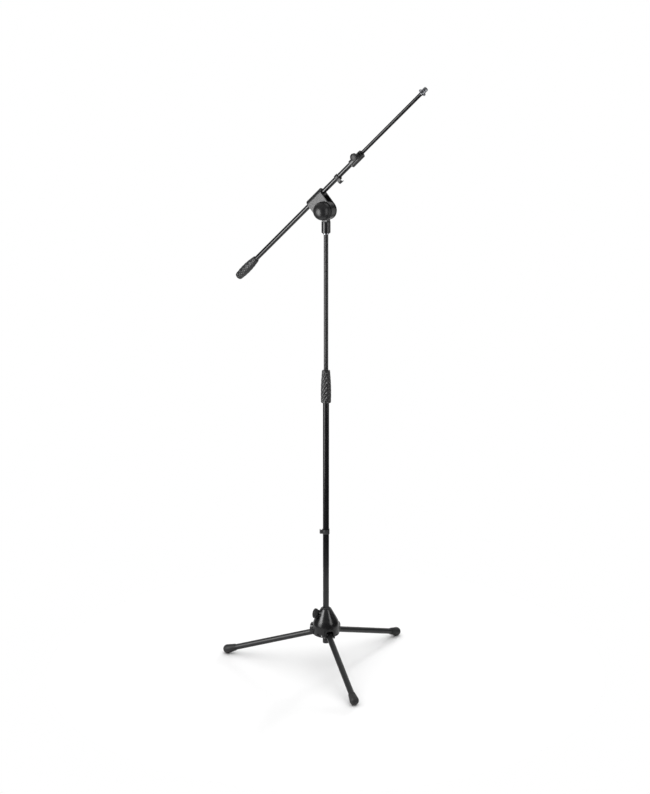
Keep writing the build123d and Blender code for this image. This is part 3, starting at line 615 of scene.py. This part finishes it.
def domed_knob():
    """Large domed knob: ground rim, a fine shadow groove and a smooth crown."""
    first, last, radius = reach("head_knob", dome_spine)
    insert = reach("head_knob_insert", dome_spine)[2]
    centre = last - radius
    socket = first + DOME_SOCKET * MM
    path = [(socket, 0), (socket, insert)]
    path += [(first + forward * MM, insert + out * MM) for forward, out in DOME_BOSS]
    path += [(first + forward * MM, radius - inward * MM) for forward, inward in DOME_SKIRT]
    path += [(centre - back * MM, radius - inward * MM) for back, inward in DOME_GROOVE]
    for turn in quarter_turn(DOME_ROWS)[:-1]:
        rise = radius * math.sin(turn) ** DOME_FULLNESS
        path.append((centre + rise, radius * math.cos(turn) ** DOME_FULLNESS))
    path.append((last, 0))
    return put(lathe(path, dome_spine, DOME_SIDES), "domed_clamp_knob", ["head_knob"], 30.0)


domed_knob()

BOLT_ROWS_PER_PITCH = 8
BOLT_SIDES = 48
BOLT_POINT = 0.85
BOLT_CHAMFER = 0.5 * MM


def threaded_bolt(name, node, spine, pitch, thread):
    """Bright bolt with a rolled thread."""
    first, last, radius = reach(node, spine)
    relief = screw_thread(first + pitch, last - pitch, pitch, thread)
    rows = int((last - first) / pitch * BOLT_ROWS_PER_PITCH)
    path = [(first, 0), (first, radius * BOLT_POINT)]
    path += [(station, radius) for station in steps(first + BOLT_CHAMFER, last, rows)]
    path.append((last, 0))
    return put(lathe(path, spine, BOLT_SIDES, relief), name, [node], 50.0)


threaded_bolt("base_clamp_bolt", "base_bolt", base_knob_spine, pitch=1.25 * MM, thread=0.6 * MM)
threaded_bolt("boom_clamp_bolt", "boom_lock_bolt", lock_knob_spine, pitch=1.0 * MM, thread=0.5 * MM)


# ---------------------------------------------------------------- microphone tip

ADAPTER_BORE = 4.76 * MM
ADAPTER_SIDES = 112
ADAPTER_ROWS_PER_PITCH = 9
THREAD_PITCH = 25.4 / 27 * MM
THREAD_DEPTH = 0.58 * MM
THREAD_RUN_IN = 1.2 * MM
THREAD_POINT = 1.0 * MM
FLANGE_THICK = 3 * MM
FLANGE_EDGE = 0.5 * MM
KNURLS = 56
KNURL_DEPTH = 0.45 * MM
KNURL_INNER = 0.9 * MM  # in from the flange's rim
KNURL_OUTER = 0.3 * MM
NECK_ROUND = 0.4 * MM
BORE_CHAMFER = 0.9 * MM


def tip_adapter():
    """Microphone adapter: knurled flange and a 27-to-the-inch thread."""
    first, last, radius = reach("thread_adapter", boom)
    thread_radius = thread_mount["dims"]["r_mm"] * MM
    flange = first + FLANGE_THICK
    thread_end = last - THREAD_POINT
    cut = screw_thread(flange + THREAD_RUN_IN, thread_end, THREAD_PITCH, THREAD_DEPTH)

    def relief(station, radius_here, angle):
        if radius_here > thread_radius + 1 * MM:
            rim = ramp(radius_here, radius - KNURL_INNER, radius - KNURL_OUTER)
            return KNURL_DEPTH * rim * abs(2 * ((angle / TURN * KNURLS) % 1) - 1)
        if radius_here < thread_radius - 1.3 * MM:
            return 0.0
        return cut(station, radius_here, angle)

    path = [(first, ADAPTER_BORE), (first, radius - FLANGE_EDGE), (first + FLANGE_EDGE, radius)]
    path += [(flange - FLANGE_EDGE, radius), (flange, radius - FLANGE_EDGE)]
    path.append((flange, thread_radius + NECK_ROUND))
    rows = int((last - flange) / THREAD_PITCH * ADAPTER_ROWS_PER_PITCH)
    path += [(station, thread_radius) for station in steps(flange + NECK_ROUND, thread_end, rows)]
    path += [(last, thread_radius - THREAD_POINT), (last, ADAPTER_BORE + BORE_CHAMFER)]
    path.append((last - BORE_CHAMFER, ADAPTER_BORE))
    work = lathe(path, boom, ADAPTER_SIDES, relief, loop=True)
    return put(work, "microphone_adapter", ["thread_adapter"], 45.0)


tip_adapter()


# ---------------------------------------------------------------- rubber feet


SIDES = ("left", "right", "front")
FOOT_SIDES = 96
FOOT_ROWS = 75
FOOT_BALL_ROWS = 32
FOOT_MOUTH = 12.2 * MM
FOOT_BORE_FIT = 0.02 * MM
FOOT_BORE_CHAMFER = 0.5 * MM
FOOT_RIM_ROUND = 0.5 * MM
FOOT_RIM_DEPTH = 0.4 * MM
FOOT_SLOPE_START = 0.8 * MM
FOOT_BALL_GAP = 2 * MM
RING_PLACES = (6 * MM, 10 * MM, 14 * MM)
RING_DEPTH = 0.7 * MM
RING_CORE = 0.35 * MM
RING_REACH = 0.95 * MM


def rubber_foot(side):
    """Rubber boot on a leg: grip rings at the mouth and a ball end, worn flat at the floor."""
    tube_low, tube_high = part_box(f"leg_tube_{side}")
    hinge = Vector(joints[f"leg_{side}_fold"]["pos_m"])
    spine = Spine(hinge, (tube_low + tube_high) / 2 - hinge)
    first, last, radius = reach(f"foot_cap_{side}", spine)
    bore = reach(f"leg_tube_{side}", spine)[2]
    ball = last - radius
    slope_end = ball - FOOT_BALL_GAP
    path = [(slope_end, 0), (slope_end, bore), (first + FOOT_BORE_CHAMFER, bore + FOOT_BORE_FIT)]
    path += [(first, bore + FOOT_BORE_CHAMFER), (first, FOOT_MOUTH - FOOT_RIM_ROUND)]
    path.append((first + FOOT_RIM_DEPTH, FOOT_MOUTH))
    for station in steps(first + FOOT_SLOPE_START, slope_end, FOOT_ROWS):
        share = (station - first) / (slope_end - first)
        ring = max(1 - ramp(abs(station - first - place), RING_CORE, RING_REACH) for place in RING_PLACES)
        path.append((station, FOOT_MOUTH + (radius - FOOT_MOUTH) * share - RING_DEPTH * ring))
    for turn in quarter_turn(FOOT_BALL_ROWS)[:-1]:
        path.append((ball + radius * math.sin(turn), radius * math.cos(turn)))
    path.append((last, 0))
    work = lathe(path, spine, FOOT_SIDES, floor=0.0)
    return put(work, f"rubber_foot_{side}", [f"foot_cap_{side}"], 40.0)


for side in SIDES:
    rubber_foot(side)


# ---------------------------------------------------------------- softened mouldings

softened("base_housing_shell", "base_housing", 0.7 * MM)
softened("column_cable_clip", "column_clip", 0.5 * MM)
softened("boom_cable_clip", "boom_clip", 0.5 * MM)


# ---------------------------------------------------------------- the frame's own nodes

for node, cad in frame["nodes"].items():
    cad.data.materials.clear()
    cad.data.materials.append(LOOKS[slots[node]])

# Nodes whose look differs from the rest of their slot: darker or lighter, glossier or duller copies that
# are painted shade and painted light, and a matter paint for the legs
NODE_LOOKS = {
    # Painted shade: a darker, glossier copy of the tube paint for the upper tube
    "upper_tube": powder_coat(
        "upper_tube_painted_shade_look", tone=0.0035, roughness=(0.1, 0.18), relief=0.1, gloss=0.42
    ),
    # Painted shade: a darker, duller copy of the tube paint for the inner boom tube
    "boom_tube_inner": powder_coat(
        "inner_boom_painted_shade_look", tone=0.004, roughness=(0.2, 0.3), relief=0.15, gloss=0.27
    ),
    # Painted light: a lighter, glossier copy of the black moulding for the lock body
    "boom_lock_body": moulding(
        "lock_body_painted_light_look",
        tone=0.012,
        roughness=(0.36, 0.44),
        grain=3200,
        height=0.04 * MM,
        strength=0.25,
        gloss=0.7,
    ),
}
leg_paint = powder_coat("leg_paint_look", tone=0.006, roughness=(0.36, 0.46), relief=0.15, gloss=0.4)
for side in SIDES:
    NODE_LOOKS[f"leg_tube_{side}"] = leg_paint
for node, look in NODE_LOOKS.items():
    frame["nodes"][node].data.materials[0] = look


# ---------------------------------------------------------------- floor, light and camera

PHOTO_AZIMUTH = math.radians(33.0)
PHOTO_PITCH = math.radians(15.0)
CAMERA_DISTANCE = 6.273
CAMERA_HEIGHT = 2.68
CAMERA_SHIFT = -0.0035
LENS = 84.42
SENSOR_WIDTH = 36
CLIP_END = 400
FLOOR_RADIUS = 1.0

towards = Vector((math.sin(PHOTO_AZIMUTH), -math.cos(PHOTO_AZIMUTH), 0))
rightward = Vector((math.cos(PHOTO_AZIMUTH), math.sin(PHOTO_AZIMUTH), 0))


def studio_point(right, near, height):
    """A point by how far it is to the right of the column, nearer the camera, and up."""
    return rightward * right + towards * near + Vector((0, 0, height))


def floor_material():
    """Pale paper sweep with a trace of unevenness."""
    n = Nodes("floor_look")
    broad = n.noise(scale=0.8, detail=3.0)
    fine = n.noise(scale=300, detail=3.0)
    colour = n.tint(broad, (0.93, 0.93, 0.93), (0.95, 0.95, 0.95))
    rough = n.spread(fine, (0.3, 0.7), (0.75, 0.9))
    return n.finish(colour, rough, fine, height=0.05 * MM, strength=0.1, Specular_IOR_Level=0.2)


work = bmesh.new()
bmesh.ops.create_circle(work, cap_ends=True, segments=96, radius=FLOOR_RADIUS)
floor_mesh = bpy.data.meshes.new("floor")
work.to_mesh(floor_mesh)
work.free()
floor_mesh.materials.append(floor_material())
floor = bpy.data.objects.new("floor", floor_mesh)
bpy.context.scene.collection.objects.link(floor)

off_floor = bpy.data.collections.new("off_floor")
off_floor.objects.link(floor)
off_floor.collection_objects[0].light_linking.link_state = "EXCLUDE"
only_floor = bpy.data.collections.new("only_floor")
only_floor.objects.link(floor)


def lamp(name, data, place, aim, lit):
    """A light at a place, turned to its aim, and linked to what it lights."""
    light = bpy.data.objects.new(name, data)
    bpy.context.scene.collection.objects.link(light)
    light.location = place
    light.rotation_euler = (aim - place).to_track_quat("-Z", "Y").to_euler()
    light.light_linking.receiver_collection = lit
    return light


def softbox(name, right, near, level, width, height, power):
    """Rectangular area light, level with its aim on the column, that leaves the floor dark."""
    data = bpy.data.lights.new(name, "AREA")
    data.shape = "RECTANGLE"
    data.size = width
    data.size_y = height
    data.energy = power
    return lamp(name, data, studio_point(right, near, level), Vector((0, 0, level)), off_floor)


def far_light(name, place, strength, spread, lit):
    """Distant light from a place towards the origin, with its apparent width in degrees."""
    data = bpy.data.lights.new(name, "SUN")
    data.energy = strength
    data.angle = math.radians(spread)
    return lamp(name, data, place, Vector((0, 0, 0)), lit)


def direction_share(tree, sight, direction, edge):
    """How far a sight line lies towards a direction: 0 to 1 over the edge's two cosines."""
    dot = tree.nodes.new("ShaderNodeVectorMath")
    dot.operation = "DOT_PRODUCT"
    tree.links.new(sight, dot.inputs[0])
    dot.inputs[1].default_value = direction.normalized()
    spread = tree.nodes.new("ShaderNodeMapRange")
    spread.interpolation_type = "SMOOTHSTEP"
    spread.inputs["From Min"].default_value = edge[0]
    spread.inputs["From Max"].default_value = edge[1]
    tree.links.new(dot.outputs["Value"], spread.inputs["Value"])
    return spread.outputs["Result"]


BACKDROP_LIGHT = 0.8
ROOM_LIGHT = 0.05
CEILING_LIGHT = 0.55
BACKDROP_EDGE = (0.5, 0.85)
CEILING_EDGE = (0.35, 0.9)


def studio_world():
    """White sweep behind the object, a dark room on the camera's side, and a pale ceiling."""
    world = bpy.data.worlds.new("studio")
    world.use_nodes = True
    tree = world.node_tree
    background = tree.nodes["Background"]
    sight = tree.nodes.new("ShaderNodeTexCoord").outputs["Generated"]
    behind = direction_share(tree, sight, -towards, BACKDROP_EDGE)
    above = direction_share(tree, sight, Vector((0, 0, 1)), CEILING_EDGE)
    wide = tree.nodes.new("ShaderNodeMath")
    wide.operation = "MULTIPLY_ADD"
    tree.links.new(behind, wide.inputs[0])
    wide.inputs[1].default_value = BACKDROP_LIGHT
    wide.inputs[2].default_value = ROOM_LIGHT
    ceiling = tree.nodes.new("ShaderNodeMath")
    ceiling.operation = "MULTIPLY_ADD"
    tree.links.new(above, ceiling.inputs[0])
    ceiling.inputs[1].default_value = CEILING_LIGHT
    tree.links.new(wide.outputs[0], ceiling.inputs[2])
    seen = tree.nodes.new("ShaderNodeLightPath").outputs["Is Camera Ray"]
    mix = tree.nodes.new("ShaderNodeMix")
    tree.links.new(seen, mix.inputs["Factor"])
    tree.links.new(ceiling.outputs[0], mix.inputs["A"])
    mix.inputs["B"].default_value = 1.0
    tree.links.new(mix.outputs["Result"], background.inputs["Strength"])
    background.inputs["Color"].default_value = (1, 1, 1, 1)
    bpy.context.scene.world = world


studio_world()
softbox("left_box", right=-1.33, near=0.89, level=1.38, width=0.78, height=1.35, power=40)
softbox("left_low_box", right=-1.33, near=0.89, level=0.44, width=0.78, height=0.5, power=6)
softbox("right_box", right=1.26, near=0.986, level=1.6, width=0.45, height=2.0, power=16)
softbox("right_rim_box", right=1.462, near=-0.651, level=1.32, width=1.0, height=1.15, power=3.5)
far_light("key", studio_point(1.0, -0.87, 1.25), strength=0.15, spread=26, lit=off_floor)
far_light("overhead", Vector((0, 0, 4)), strength=1.84, spread=120, lit=only_floor)
far_light("low_glow", studio_point(0.353, -0.935, 0.3), strength=0.75, spread=9, lit=only_floor)
bpy.context.scene.view_settings.view_transform = "Standard"

camera_data = bpy.data.cameras.new("camera")
camera_data.sensor_width = SENSOR_WIDTH
camera_data.lens = LENS
camera_data.clip_end = CLIP_END
camera = bpy.data.objects.new("camera", camera_data)
bpy.context.scene.collection.objects.link(camera)
camera.location = studio_point(CAMERA_SHIFT, CAMERA_DISTANCE, CAMERA_HEIGHT)
camera.rotation_euler = (math.pi / 2 - PHOTO_PITCH, 0, PHOTO_AZIMUTH)
bpy.context.scene.camera = camera
